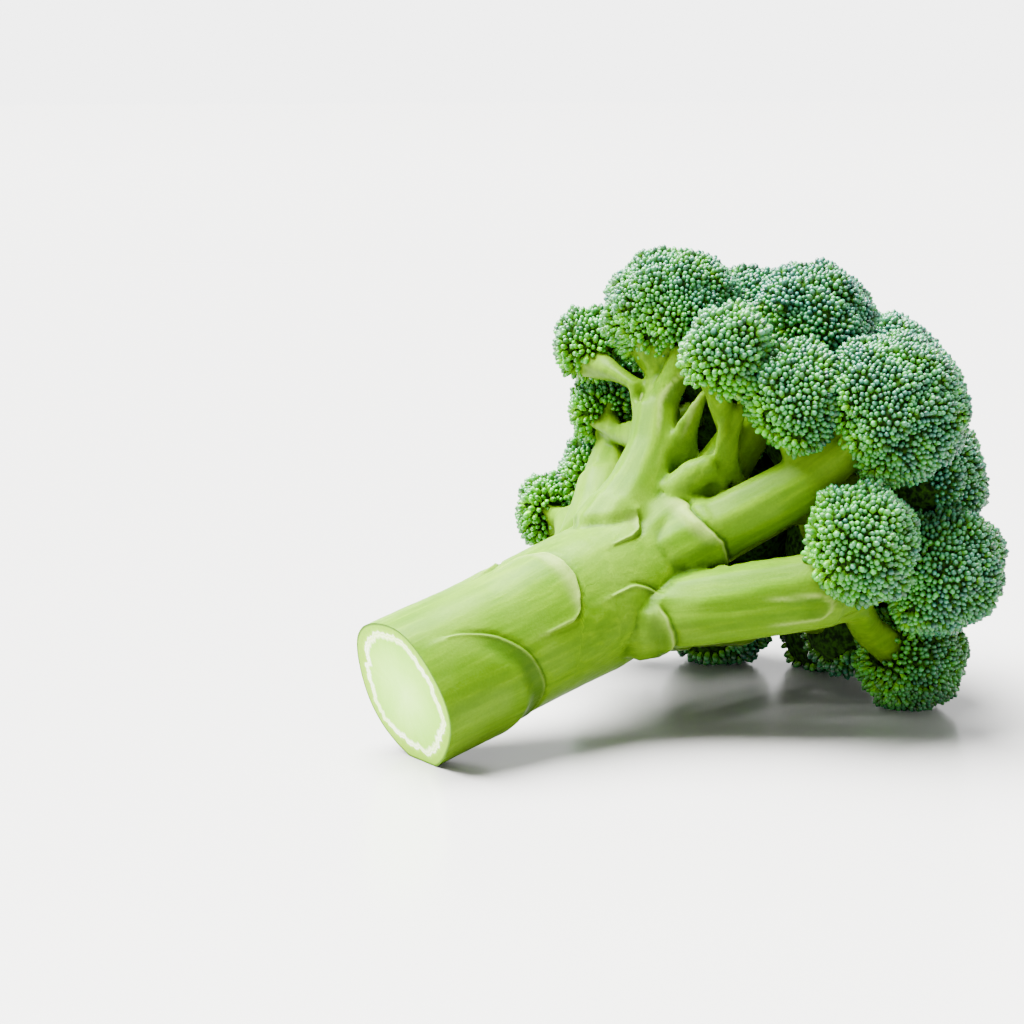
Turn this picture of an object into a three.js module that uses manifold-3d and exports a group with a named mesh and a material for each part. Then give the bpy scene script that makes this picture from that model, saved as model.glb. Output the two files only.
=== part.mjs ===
// A head of broccoli lying on a table as it was cut: one thick stalk that forks into limbs and
// branches, and a crown of florets, each a cap of tight flower buds on the end of its branch.
// Millimetres, +Z up. The head lies along +X on the lower rim of its cut and its lowest florets.
import * as THREE from "three";
import { ConvexHull } from "three/addons/math/ConvexHull.js";
import { mergeVertices } from "three/addons/utils/BufferGeometryUtils.js";
import Module from "manifold-3d";

// How the head lies.
const REST_RISE = THREE.MathUtils.degToRad(16.5); // the stalk's axis climbs towards the crown
const CUT_HEIGHT = 19; // centre of the cut above the table
const TABLE_SINK = 0.6; // what is pressed flat where the head rests

// The trunk, from the cut to where the last limbs leave it.
const TRUNK_RADIUS = 20;
const TRUNK_LENGTH = 92;
const TRUNK_MESH = [18, 28]; // sides round it and rings along it

// Buds are about four times life size here, so that a few cover each floret.
const BUD_SPACING = 6.7;
const BUD_RELIEF = 1.5;
const BURIED_SPACING = 13; // between points where a floret is pressed against another
const FLORET_GAP = 0.3; // clear space between two florets, and round each branch
const TOUCHING = 1.15; // florets whose centres are nearer than this share of both radii may touch
const PRESSED = 0.93; // a bud with less room than this share of its height is pressed away

// A floret's own small lobes, as shares of its radius or of its dome.
const LOBES_PER_RADIUS = 0.85;
const FEWEST_LOBES = 7;
const LOBE_SHARE = 0.5; // the lobes' radius
const LOBE_REACH = 0.56; // how far out their centres lie
const DOME_SHARE = 0.95; // height of the dome between the lobes
const LOBE_LIMIT = 1.06; // the highest that a lobe may stand

// How finely the tubes of the stalk are drawn: sides round them and rings along them.
const LIMB_MESH = [8, 5];
const COLLAR_MESH = [10, 2];
const BRANCH_MESH = [6, 3];
const LEAF_MESH = [5, 3];
const BRANCH_FORM = [1.15, 1, 0.92, 0.95, 1.15]; // a branch's radius along it: wide at both ends

const STALK_COLOUR = 0x9ccb3c;
const FLORET_COLOUR = 0x3c6e3a;
const SATIN_ROUGHNESS = 0.5; // of both, as fresh plants have

// Places on the head: mm along the stalk's axis from the cut, then towards the viewer (-Y) and
// upwards, both at right angles to the axis. The last number of a limb's point is its radius.
const LIMBS = {
  upper: [[58, -1, 4, 14], [76, -3, 13, 11], [87, -4, 20.5, 8.4], [96, -6, 28, 6.9], [104, -10, 37, 6.2]],
  middle: [
    [70, 2, 5, 13], [88, 4, 11, 10], [101, 4.5, 14, 8.2], [110, 5, 19, 7.4], [118, 7, 26, 6.6],
    [125, 9, 32, 6],
  ],
  near: [
    [66, 3, 1, 13], [82, 8.5, 5, 10.5], [94, 16, 8.7, 8.3], [106, 27, 14, 8], [116, 36, 19, 7.4],
    [126, 42, 25, 5],
  ],
  lower: [
    [50, 1, -3, 14], [63, 9, -5, 11.5], [74, 18.5, -6.3, 9.4], [90, 34, -8, 9], [98, 41, -9, 8.2],
    [106, 46, -12.5, 5.5],
  ],
  far: [[54, -7, 0, 11], [70, -17, 4, 7.5], [81, -31, 6, 5], [87, -41, 6, 4.2]],
  far_upper: [[66, -6, 4, 12], [84, -20, 12, 8], [98, -31, 18, 6.8], [107, -38, 21, 6]],
  far_lower: [[56, -6, -4, 12], [76, -20, -12, 8.5], [90, -31, -17, 7], [99, -37, -20, 6]],
  under: [[60, -1, -4, 11.5], [84, -4, -17, 8], [102, -7, -26, 7], [116, -8, -33, 6.4]],
  centre: [[78, 0, 0, 13], [100, 0, 1, 10], [122, 1, 1, 8.6], [138, 2, 1, 7.6]],
};

// Each floret: its centre; its radius, then its height and its depth over that radius; the limb
// that carries it, where along that limb its branch leaves and the branch's radius; and how far
// round its underside is bare of buds (the cosine from the way it grows).
const floret = (name, at, [r, high, deep], limb, leaves, stem, bare) => ({
  name: `floret_${name}`, at, r, high, deep, limb, leaves, stem, bare,
});
const FLORETS = [
  floret("upper", [122.5, -17, 57], [20.6, 0.76, 0.75], "upper", 0.86, 4.6, -0.6),
  floret("upper_front", [109, 19, 53.5], [11.8, 1.22, 1.12], "middle", 0.62, 3.6, -0.6),
  floret("upper_rear", [143, 14, 49], [17.2, 0.94, 0.7], "middle", 0.95, 5, -0.5),
  floret("front_inner", [120.5, 30.5, 37.5], [16.6, 0.86, 0.8], "near", 0.72, 4.4, -0.6),
  floret("front", [136.5, 45, 30], [20.8, 0.95, 0.75], "near", 0.9, 5.6, -0.6),
  floret("front_low", [111.5, 54, 4], [15.2, 0.95, 0.95], "lower", 0.8, 4.6, -0.6),
  floret("low", [137, 51, -14], [18, 0.98, 0.8], "lower", 0.9, 5.2, -0.6),
  floret("rest_near", [139.5, 31, -45.7], [15.2, 0.98, 0.9], "lower", 0.86, 4.8, -0.6),
  floret("far_top", [108, -41, 51], [10.8, 1, 0.95], "upper", 0.8, 3.2, -0.6),
  floret("far_upper", [110, -43, 31], [11, 0.95, 0.9], "upper", 0.62, 2.8, -0.6),
  floret("far_middle", [109, -50, 9], [14, 0.9, 0.85], "far", 0.8, 3.6, -0.6),
  floret("far_edge", [96, -61, 2], [11.6, 0.8, 0.85], "far", 0.95, 3.2, -0.6),
  floret("far_low", [111, -53, -25], [17, 0.9, 0.7], "far_lower", 0.7, 4.2, -0.4),
  floret("rest_far", [131, -42, -42], [17, 0.9, 0.7], "far_lower", 0.9, 4.4, -0.4),
  floret("rest_rear", [152, -17, -48], [17.5, 0.92, 0.7], "under", 0.9, 4.8, -0.3),
  floret("under", [138, 8, -38], [15, 0.9, 0.7], "under", 0.8, 4.2, -0.3),
  floret("rear_upper", [127, -51, 29], [17.5, 0.86, 0.7], "far_upper", 0.8, 4.2, -0.4),
  floret("rear_middle", [130, -58, -1], [18.5, 0.86, 0.7], "far_upper", 0.9, 4.4, -0.4),
  floret("crown_upper", [148, -16, 40.5], [21, 0.83, 0.85], "middle", 0.85, 4.8, -0.1),
  floret("crown_far", [149, -38, 22], [20.5, 0.83, 0.85], "far_upper", 0.95, 4.6, -0.1),
  floret("crown_edge", [149, -42, -16], [20.5, 0.83, 0.85], "far_lower", 0.95, 4.8, -0.1),
  floret("crown_low", [162, -15, -28], [20.5, 0.82, 0.85], "centre", 0.85, 4.6, -0.1),
  floret("crown_near", [157, 22, -27], [20, 0.82, 0.85], "centre", 0.8, 4.6, -0.1),
  floret("tip_near", [149.5, 37, 5], [19, 0.86, 0.85], "centre", 0.85, 4.8, -0.1),
  floret("tip_upper", [162, 13, 24], [22, 0.8, 0.85], "centre", 0.9, 4.8, -0.1),
  floret("tip_far", [167, -19, 7], [21.5, 0.8, 0.85], "centre", 0.95, 4.8, -0.1),
  floret("tip", [169, 11, -7], [21, 0.8, 0.85], "centre", 0.98, 4.8, -0.1),
];

// Scars where leaves were cut off: a tongue that rises towards the crown and ends in a step.
// around is measured in degrees from the viewer's side upwards.
const SCARS = [
  { along: 33, around: 4, half: 11, length: 22, bow: 9, rise: 1.3 },
  { along: 50, around: 42, half: 9.5, length: 20, bow: 8, rise: 1.4 },
  { along: 78, around: 74, half: 9, length: 18, bow: 6, rise: 1.5 },
  { along: 40, around: 150, half: 10, length: 20, bow: 8, rise: 1.3 },
  { along: 24, around: -112, half: 10, length: 18, bow: 8, rise: 1.1 },
  { along: 58, around: -75, half: 10, length: 20, bow: 8, rise: 1.3 },
  { along: 66, around: -150, half: 10, length: 20, bow: 8, rise: 1.3 },
];
// Collars are the same scars where a leaf sat at the foot of a limb: they follow the limb.
const COLLARS = [
  { limb: "near", from: 0.12, to: 0.42, swell: 1.1 },
  { limb: "lower", from: 0.08, to: 0.33, swell: 1.1 },
  { limb: "upper", from: 0.2, to: 0.36, swell: 0.7 },
  { limb: "far_upper", from: 0.2, to: 0.55, swell: 0.9 },
  { limb: "far_lower", from: 0.15, to: 0.5, swell: 0.9 },
  { limb: "under", from: 0.15, to: 0.5, swell: 0.9 },
];
// Small pointed leaves left among the branches: root, bend and tip, then the width at the root.
const BRACTS = [
  { points: [[101, 13, 14], [104, 14.5, 21], [103, 16, 33]], width: 1.7 },
  { points: [[108, 14, 16], [110, 15, 24], [113, 17, 35]], width: 1.9 },
  { points: [[98, -1, 26], [103, 1, 31], [109, 3, 36]], width: 2.2 },
];
const LEAF_TIP = 0.35; // radius at a small leaf's tip

// A small seeded generator, so that every build draws the same head.
function seededRandom(seed) {
  let state = seed >>> 0;
  return () => {
    state = (state + 0x6d2b79f5) >>> 0;
    let t = Math.imul(state ^ (state >>> 15), 1 | state);
    t = (t + Math.imul(t ^ (t >>> 7), 61 | t)) ^ t;
    return ((t ^ (t >>> 14)) >>> 0) / 4294967296;
  };
}

// The point of the lying head for a place along, near and up on it.
function place([along, near, up]) {
  return new THREE.Vector3(
    along * Math.cos(REST_RISE) - up * Math.sin(REST_RISE),
    -near,
    CUT_HEIGHT + along * Math.sin(REST_RISE) + up * Math.cos(REST_RISE),
  );
}

const HUB = place([55, 0, 0]); // florets face away from this point of the trunk

// Even directions over a sphere, by the golden angle, each moved a little at random.
function evenDirections(count, jitter, random) {
  const golden = Math.PI * (3 - Math.sqrt(5));
  return Array.from({ length: count }, (_, i) => {
    const z = 1 - (2 * i + 1) / count;
    const across = Math.sqrt(1 - z * z);
    const direction = new THREE.Vector3(across * Math.cos(i * golden), across * Math.sin(i * golden), z);
    const shift = new THREE.Vector3(random() - 0.5, random() - 0.5, random() - 0.5);
    return direction.addScaledVector(shift, jitter).normalize();
  });
}

// How many points a sphere takes at a spacing, in a pattern of triangles.
function pointsOnSphere(radius, spacing) {
  return Math.round((4 * Math.PI * radius * radius) / (0.866 * spacing * spacing));
}

const florets = FLORETS.map((f, i) => {
  const centre = place(f.at);
  return { ...f, centre, grows: centre.clone().sub(HUB).normalize(), seed: 100 + i };
});

// The dome of a floret: an egg that is high on the outer side and shallow underneath.
function domeRadius(floret, direction) {
  const t = direction.dot(floret.grows);
  const along = floret.r * (t > 0 ? floret.high : floret.deep);
  return 1 / Math.sqrt((1 - t * t) / floret.r ** 2 + (t * t) / along ** 2);
}

// The small round lobes that a floret is made of, as balls inside its dome.
function floretLobes(floret) {
  const count = Math.max(FEWEST_LOBES, Math.round(floret.r * LOBES_PER_RADIUS));
  return evenDirections(count, 0.35, seededRandom(floret.seed)).map((direction) => ({
    centre: direction.clone().multiplyScalar(LOBE_REACH * domeRadius(floret, direction)),
    radius: LOBE_SHARE * floret.r,
  }));
}

// Where a ray from the floret's centre leaves the union of its dome and its lobes.
function lobedRadius(floret, lobes, direction) {
  const dome = domeRadius(floret, direction);
  let reach = DOME_SHARE * dome;
  for (const lobe of lobes) {
    const beside = lobe.centre.dot(direction);
    const inside = lobe.radius ** 2 - lobe.centre.lengthSq() + beside ** 2;
    if (inside > 0) reach = Math.max(reach, Math.min(beside + Math.sqrt(inside), LOBE_LIMIT * dome));
  }
  return reach;
}

// The planes where a floret meets its neighbours: florets that touch press each other flat.
function contactPlanes(floret) {
  return florets.flatMap((other) => {
    const across = other.centre.clone().sub(floret.centre);
    const distance = across.length();
    if (other === floret || distance > TOUCHING * (floret.r + other.r)) return [];
    const offset = (distance ** 2 + floret.r ** 2 - other.r ** 2) / (2 * distance) - FLORET_GAP / 2;
    return [{ normal: across.divideScalar(distance), offset }];
  });
}

function reachToPlanes(planes, direction) {
  return planes.reduce((reach, plane) => {
    const towards = plane.normal.dot(direction);
    return towards > 1e-6 ? Math.min(reach, plane.offset / towards) : reach;
  }, Infinity);
}

// One floret: a point for each bud where it is exposed and a few where it is pressed or hidden,
// joined as a ball, with a peak at each bud and a valley at the middle of every three.
function floretGeometry(floret) {
  const random = seededRandom(floret.seed + 1000);
  const lobes = floretLobes(floret);
  const planes = contactPlanes(floret);
  const exposed = (direction) =>
    direction.dot(floret.grows) > floret.bare &&
    reachToPlanes(planes, direction) > PRESSED * lobedRadius(floret, lobes, direction);
  const buds = evenDirections(pointsOnSphere(floret.r, BUD_SPACING), 0.09, random).filter(exposed);
  const apart = (0.7 * BUD_SPACING) / floret.r;
  const clearOfBuds = (direction) => buds.every((bud) => bud.angleTo(direction) > apart);
  const rest = evenDirections(pointsOnSphere(floret.r, BURIED_SPACING), 0.05, random).filter(
    (direction) => !exposed(direction) && clearOfBuds(direction),
  );
  const points = [...buds, ...rest];
  const surface = (direction, sunk) => {
    const reach = Math.min(lobedRadius(floret, lobes, direction) - sunk, reachToPlanes(planes, direction));
    return floret.centre.clone().addScaledVector(direction, reach);
  };
  const vertices = points.map((direction, i) => surface(direction, i < buds.length ? 0 : BUD_RELIEF));
  const faces = new ConvexHull().setFromPoints(points).faces;
  const valley = new Map();
  for (const face of faces) {
    const middle = new THREE.Vector3();
    for (let k = 0, edge = face.edge; k < 3; k++, edge = edge.next) middle.add(edge.head().point);
    valley.set(face, vertices.push(surface(middle.normalize(), BUD_RELIEF)) - 1);
  }
  const number = new Map(points.map((point, i) => [point, i]));
  const triangles = [];
  for (const face of faces) {
    for (let k = 0, edge = face.edge; k < 3; k++, edge = edge.next) {
      const bud = number.get(edge.head().point);
      const next = edge.next;
      triangles.push(bud, valley.get(next.twin.face), valley.get(face));
    }
  }
  return indexedGeometry(vertices, triangles);
}

function indexedGeometry(vertices, triangles) {
  const geometry = new THREE.BufferGeometry().setFromPoints(vertices);
  geometry.setIndex(triangles);
  return geometry;
}

// A closed tube along a smooth curve, made by bending a cylinder. relief adds to the radius.
function tubeGeometry(points, radii, [sides, rings], extra, relief = () => 0) {
  const curve = new THREE.CatmullRomCurve3(points, false, "centripetal");
  const lengths = points.map((p, i) => (i ? p.distanceTo(points[i - 1]) : 0));
  const total = lengths.reduce((sum, length) => sum + length, 0);
  const radiusAt = (t) => {
    let travelled = 0;
    for (let i = 1; i < points.length; i++) {
      const share = (t * total - travelled) / lengths[i];
      if (share <= 1 || i === points.length - 1)
        return THREE.MathUtils.lerp(radii[i - 1], radii[i], Math.min(Math.max(share, 0), 1));
      travelled += lengths[i];
    }
    return radii.at(-1);
  };
  const cylinder = new THREE.CylinderGeometry(1, 1, 1, sides, rings);
  const from = cylinder.attributes.position;
  const vertices = [];
  const side = new THREE.Vector3(0, -1, 0);
  for (let i = 0; i < from.count; i++) {
    const t = 0.5 + from.getY(i);
    const middle = curve.getPointAt(t);
    const ahead = curve.getTangentAt(t);
    const across = side.clone().addScaledVector(ahead, -side.dot(ahead)).normalize();
    const up = new THREE.Vector3().crossVectors(across, ahead);
    const around = Math.atan2(from.getZ(i), from.getX(i));
    const rim = Math.hypot(from.getX(i), from.getZ(i)) > 0.5 ? radiusAt(t) + extra + relief(t, around) : 0;
    const end = t === 0 ? -extra : t === 1 ? extra : 0;
    middle.addScaledVector(across, rim * Math.cos(around)).addScaledVector(up, rim * Math.sin(around));
    vertices.push(middle.addScaledVector(ahead, end));
  }
  return indexedGeometry(vertices, Array.from(cylinder.index.array));
}

const limbPoints = (name) => LIMBS[name].map(place);
const limbRadii = (name) => LIMBS[name].map((point) => point[3]);

// The trunk's section is a soft five-sided round, and the leaf scars stand proud of it.
function trunkRelief(t, around) {
  const along = t * TRUNK_LENGTH;
  const ribs = 0.35 * Math.cos(5 * around + 0.6) + 0.25 * Math.cos(3 * around - 1);
  const scars = SCARS.map((scar) => {
    const from = around - THREE.MathUtils.degToRad(scar.around);
    const turn = Math.atan2(Math.sin(from), Math.cos(from));
    const aside = (turn * TRUNK_RADIUS) / scar.half;
    if (Math.abs(aside) >= 1) return 0;
    const behind = (scar.along - scar.bow * aside * aside - along) / scar.length;
    if (behind < 0 || behind > 1) return 0;
    return scar.rise * (1 - behind) * (1 - aside ** 4);
  });
  return ribs + Math.max(...scars);
}

// Every tube of the stalk, each thicker by extra all round.
function stalkTubes(extra) {
  const tubes = [];
  const trunk = [0, 30, 60, TRUNK_LENGTH].map((along) => place([along, 0, along > 70 ? 1 : 0]));
  const trunkRadii = [TRUNK_RADIUS, TRUNK_RADIUS - 1, TRUNK_RADIUS - 0.6, TRUNK_RADIUS - 4];
  tubes.push(tubeGeometry(trunk, trunkRadii, TRUNK_MESH, extra, trunkRelief));
  for (const name of Object.keys(LIMBS))
    tubes.push(tubeGeometry(limbPoints(name), limbRadii(name), LIMB_MESH, extra));
  for (const collar of COLLARS) {
    const points = limbPoints(collar.limb);
    const curve = new THREE.CatmullRomCurve3(points, false, "centripetal");
    const limb = limbRadii(collar.limb);
    const radiusAt = (t) => {
      const at = t * (limb.length - 1);
      return THREE.MathUtils.lerp(limb[Math.floor(at)], limb[Math.ceil(at)], at - Math.floor(at));
    };
    const stations = [0, 0.5, 1].map((k) => THREE.MathUtils.lerp(collar.from, collar.to, k));
    const radii = stations.map((t, k) => radiusAt(t) + collar.swell * (k / 2));
    const line = stations.map((t) => curve.getPoint(t));
    tubes.push(tubeGeometry(line, radii, COLLAR_MESH, extra));
  }
  for (const floret of florets) {
    const limb = new THREE.CatmullRomCurve3(limbPoints(floret.limb), false, "centripetal");
    const foot = limb.getPoint(floret.leaves);
    const tip = floret.centre.clone().addScaledVector(floret.grows, -0.2 * floret.r);
    const reach = foot.distanceTo(tip) / 3;
    const path = new THREE.CubicBezierCurve3(
      foot,
      foot.clone().addScaledVector(limb.getTangent(floret.leaves), reach),
      tip.clone().addScaledVector(floret.grows, -reach),
      tip,
    );
    const radii = BRANCH_FORM.map((share) => share * floret.stem);
    tubes.push(tubeGeometry(path.getPoints(radii.length - 1), radii, BRANCH_MESH, extra));
  }
  for (const bract of BRACTS) {
    const radii = [bract.width, bract.width * 0.7, LEAF_TIP];
    tubes.push(tubeGeometry(bract.points.map(place), radii, LEAF_MESH, extra));
  }
  return tubes;
}

const wasm = await Module();
wasm.setup();

function solid(geometry) {
  geometry.deleteAttribute("normal");
  geometry.deleteAttribute("uv");
  const merged = mergeVertices(geometry, 1e-4);
  return new wasm.Manifold(
    new wasm.Mesh({
      numProp: 3,
      vertProperties: merged.attributes.position.array,
      triVerts: new Uint32Array(merged.index.array),
    }),
  );
}

const joined = (geometries) => geometries.map(solid).reduce((all, one) => all.add(one));

// A cut can leave loose crumbs, and only the largest body is the piece.
function largest(cut) {
  return cut.decompose().reduce((best, body) => (body.volume() > best.volume() ? body : best));
}

function meshOf(name, made, colour) {
  const { numProp, vertProperties, triVerts } = made.getMesh();
  const count = vertProperties.length / numProp;
  const vertices = Array.from({ length: count }, (_, i) =>
    new THREE.Vector3().fromArray(vertProperties, i * numProp),
  );
  const geometry = indexedGeometry(vertices, Array.from(triVerts));
  geometry.computeVertexNormals();
  const finish = { color: colour, roughness: SATIN_ROUGHNESS, metalness: 0 };
  const material = new THREE.MeshStandardMaterial(finish);
  const mesh = new THREE.Mesh(geometry, material);
  mesh.name = name;
  return mesh;
}

// Everything below the table's height is pressed away, which leaves the small flats it rests on.
const belowTable = solid(new THREE.BoxGeometry(600, 600, 100).translate(0, 0, -50 + TABLE_SINK));

const stalk = largest(joined(stalkTubes(0)).subtract(belowTable));
const stalkWithRoom = joined(stalkTubes(FLORET_GAP));
const caps = florets.map((floret) => ({
  name: floret.name,
  cut: largest(solid(floretGeometry(floret)).subtract(stalkWithRoom).subtract(belowTable)),
}));

// The origin goes to the middle of the head's footprint, on the table.
const box = new THREE.Box3();
for (const made of [stalk, ...caps.map((cap) => cap.cut)]) {
  const bounds = made.boundingBox();
  box.expandByPoint(new THREE.Vector3().fromArray(bounds.min));
  box.expandByPoint(new THREE.Vector3().fromArray(bounds.max));
}
const middle = box.getCenter(new THREE.Vector3());
const laid = new THREE.Group();
laid.position.set(-middle.x, -middle.y, -box.min.z);
laid.add(meshOf("stalk", stalk, STALK_COLOUR));
for (const cap of caps) laid.add(meshOf(cap.name, cap.cut, FLORET_COLOUR));

const head = new THREE.Group();
head.add(laid);

export default head;
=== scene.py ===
"""A head of broccoli, cut and laid on a pale table: its stalk, its florets of small buds and the stage."""

import math

import bmesh
import bpy
import numpy as np
from bpy.props import FloatProperty, PointerProperty
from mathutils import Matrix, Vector
from mathutils.bvhtree import BVHTree
from mathutils.kdtree import KDTree

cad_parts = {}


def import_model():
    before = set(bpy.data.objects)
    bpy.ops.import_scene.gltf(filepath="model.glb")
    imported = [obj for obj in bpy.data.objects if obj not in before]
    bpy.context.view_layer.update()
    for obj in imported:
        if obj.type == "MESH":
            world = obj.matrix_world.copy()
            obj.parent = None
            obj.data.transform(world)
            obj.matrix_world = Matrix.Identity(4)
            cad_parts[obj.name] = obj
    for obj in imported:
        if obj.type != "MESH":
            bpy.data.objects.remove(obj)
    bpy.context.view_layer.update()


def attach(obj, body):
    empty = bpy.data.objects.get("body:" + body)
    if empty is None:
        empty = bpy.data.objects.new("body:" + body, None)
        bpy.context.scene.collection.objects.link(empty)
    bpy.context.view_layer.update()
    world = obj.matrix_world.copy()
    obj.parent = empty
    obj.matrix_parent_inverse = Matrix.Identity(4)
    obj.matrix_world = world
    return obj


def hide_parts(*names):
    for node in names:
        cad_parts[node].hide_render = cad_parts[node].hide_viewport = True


bl_info = {
    "name": "Broccoli head",
    "version": (1, 0, 0),
    "blender": (4, 5, 0),
    "location": "3D View > Sidebar > Broccoli",
    "description": "Builds a head of broccoli from its stalk and floret nodes",
    "category": "Object",
}

# Places on the head are written as mm along the stalk's axis from the cut, mm towards the viewer
# and mm upwards, both at right angles to the axis.
RISE = math.radians(16.5)  # the axis climbs towards the crown
CUT_CENTRE = np.array((-0.088232, -0.003341, 0.0184))
HEAD_AXES = np.array(
    (
        (math.cos(RISE), 0, math.sin(RISE)),
        (0, -1, 0),
        (-math.sin(RISE), 0, math.cos(RISE)),
    )
)
HUB = (55, 0, 0)  # florets face away from here
TRUNK_RADIUS = 20

RANDOM_SEED = 16
STALK_ROUNDS, FLORET_ROUNDS = 12, 6  # rounds of smoothing on each fine surface
CANDIDATES = 18  # places tried for buds in a square as wide as their spacing
BUD_GAP, BUD_RADIUS = 0.7, 0.56  # two buds' least distance and a bud's radius, as shares of the spacing
RAY_START = 0.0003  # rays that look for free air start this many metres off the surface
LIGHT_TURN = (math.radians(-21), math.radians(-13), 0)
CAMERA_PLACE = (-0.40676, -0.50623, 0.17006)
CAMERA_TURN = (math.radians(80), 0, math.radians(-35))

# Name, place of the centre, radius, the limb that carries it, where along that limb its branch
# leaves, the branches that spread under it, how far round its underside is bare (the cosine from
# the way it faces), spacing of its buds in mm, blue bloom, and yellow of its pedicels.
FLORETS = (
    ("upper", (122.5, -17, 57), 20.6, "upper", 0.86, 7, -0.9, 1.52, 0.85, 0.4),
    ("upper_front", (109, 19, 53.5), 11.8, "middle", 0.62, 5, -0.9, 1.75, 0.6, 0.5),
    ("upper_rear", (143, 14, 49), 17.2, "middle", 0.95, 0, -0.8, 1.6, 0.9, 0.2),
    ("front_inner", (120.5, 30.5, 37.5), 16.6, "near", 0.72, 5, -0.9, 1.65, 0.55, 0.35),
    ("front", (136.5, 45, 30), 20.8, "near", 0.9, 6, -0.9, 1.55, 0.6, 0.25),
    ("front_low", (111.5, 54, 4), 15.2, "lower", 0.8, 0, -0.95, 1.75, 0.55, 0.5),
    ("low", (137, 51, -14), 18, "lower", 0.9, 4, -0.9, 1.6, 0.55, 0.25),
    ("rest_near", (139.5, 31, -45.7), 15.2, "lower", 0.86, 0, -0.98, 1.6, 0.2, 0.35),
    ("far_top", (108, -41, 51), 10.8, "upper", 0.8, 4, -0.9, 1.6, 0.4, 0.5),
    ("far_upper", (110, -43, 31), 11, "upper", 0.62, 4, -0.9, 1.6, 0.2, 0.5),
    ("far_middle", (109, -50, 9), 14, "far", 0.8, 4, -0.9, 1.6, 0.2, 0.4),
    ("far_edge", (96, -61, 2), 11.6, "far", 0.95, 3, -0.9, 1.6, 0.2, 0.6),
    ("far_low", (111, -53, -25), 17, "far_lower", 0.7, 0, -0.4, 2.0, 0.3, 0.2),
    ("rest_far", (131, -42, -42), 17, "far_lower", 0.9, 0, -0.4, 2.1, 0.3, 0.2),
    ("rest_rear", (152, -17, -48), 17.5, "under", 0.9, 0, -0.3, 2.1, 0.3, 0.2),
    ("under", (138, 8, -38), 15, "under", 0.8, 0, -0.3, 2.0, 0.3, 0.2),
    ("rear_upper", (127, -51, 29), 17.5, "far_upper", 0.8, 0, -0.4, 1.9, 0.5, 0.2),
    ("rear_middle", (130, -58, -1), 18.5, "far_upper", 0.9, 0, -0.4, 2.0, 0.4, 0.2),
    ("crown_upper", (148, -16, 40.5), 21, "middle", 0.85, 0, -0.1, 1.7, 0.7, 0.2),
    ("crown_far", (149, -38, 22), 20.5, "far_upper", 0.95, 0, -0.1, 2.0, 0.5, 0.2),
    ("crown_edge", (149, -42, -16), 20.5, "far_lower", 0.95, 0, -0.1, 2.05, 0.5, 0.2),
    ("crown_low", (162, -15, -28), 20.5, "centre", 0.85, 0, -0.1, 2.0, 0.4, 0.2),
    ("crown_near", (157, 22, -27), 20, "centre", 0.8, 0, -0.1, 1.8, 0.5, 0.2),
    ("tip_near", (149.5, 37, 5), 19, "centre", 0.85, 0, -0.1, 1.6, 0.6, 0.2),
    ("tip_upper", (162, 13, 24), 22, "centre", 0.9, 0, -0.1, 1.8, 0.7, 0.2),
    ("tip_far", (167, -19, 7), 21.5, "centre", 0.95, 0, -0.1, 2.0, 0.5, 0.2),
    ("tip", (169, 11, -7), 21, "centre", 0.98, 0, -0.1, 1.9, 0.5, 0.2),
)
# Branches that bend away from the straight way to their floret, and by how much, in mm.
BENDS = {"far_top": (2, 0, 8), "rest_near": (0, 2, 5)}

# The lines that the trunk and the limbs follow.
LIMB_LINES = {
    "trunk": ((0, 0, 0), (60, 0, 0), (92, 0, 1)),
    "upper": ((58, -1, 4), (76, -3, 13), (87, -4, 20.5), (96, -6, 28), (104, -10, 37)),
    "middle": ((70, 2, 5), (88, 4, 11), (101, 4.5, 14), (110, 5, 19), (118, 7, 26), (125, 9, 32)),
    "near": ((66, 3, 1), (82, 8.5, 5), (94, 16, 8.7), (106, 27, 14), (116, 36, 19), (126, 42, 25)),
    "lower": ((50, 1, -3), (63, 9, -5), (74, 18.5, -6.3), (90, 34, -8), (98, 41, -9), (106, 46, -12.5)),
    "far": ((54, -7, 0), (70, -17, 4), (81, -31, 6), (87, -41, 6)),
    "far_upper": ((66, -6, 4), (84, -20, 12), (98, -31, 18), (107, -38, 21)),
    "far_lower": ((56, -6, -4), (76, -20, -12), (90, -31, -17), (99, -37, -20)),
    "under": ((60, -1, -4), (84, -4, -17), (102, -7, -26), (116, -8, -33)),
    "centre": ((78, 0, 0), (100, 0, 1), (122, 1, 1), (138, 2, 1)),
}

# Leaf scars on the trunk: end along it, degrees round it from the viewer's side upwards, half
# width, length, how far the end bows and how high it stands, all in mm, then how hollow it is
# behind its end, which also sets how much painted shade lies in that hollow, and how white.
SCARS = (
    (31, -35, 29.5, 32, 26.5, 2.1, 1, 0.05),
    (50, 54, 13.2, 22, 8.6, 1.5, 0.3, 0.6),
    (79, 84, 10.5, 20, 9, 1.6, 0.2, 0.3),
    (74, -38, 20.5, 26, 14, 1, 0.8, 0.1),
    (44, 140, 13, 20, 12, 0.6, 0.6, 0.2),
    (22, 178, 13, 20, 12, 0.7, 0.7, 0.1),
    (66, -150, 12, 20, 11, 0.8, 0.6, 0.2),
)
# Where a leaf sat at a limb's foot, its scar ends as a step across the limb: the middle of the
# step, the limb's direction there, the limb's radius, how far up the step runs as a share of
# that radius, its bow and how white it is.
STEPS = (
    ((94.6, 16.7, 9.1), (0.7, 0.64, 0.24), 10.5, 0.8, 5, 0.7),
    ((72.4, 17.1, -6), (0.75, 0.65, -0.09), 12.5, 0.3, 6, 0.25),
)
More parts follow.
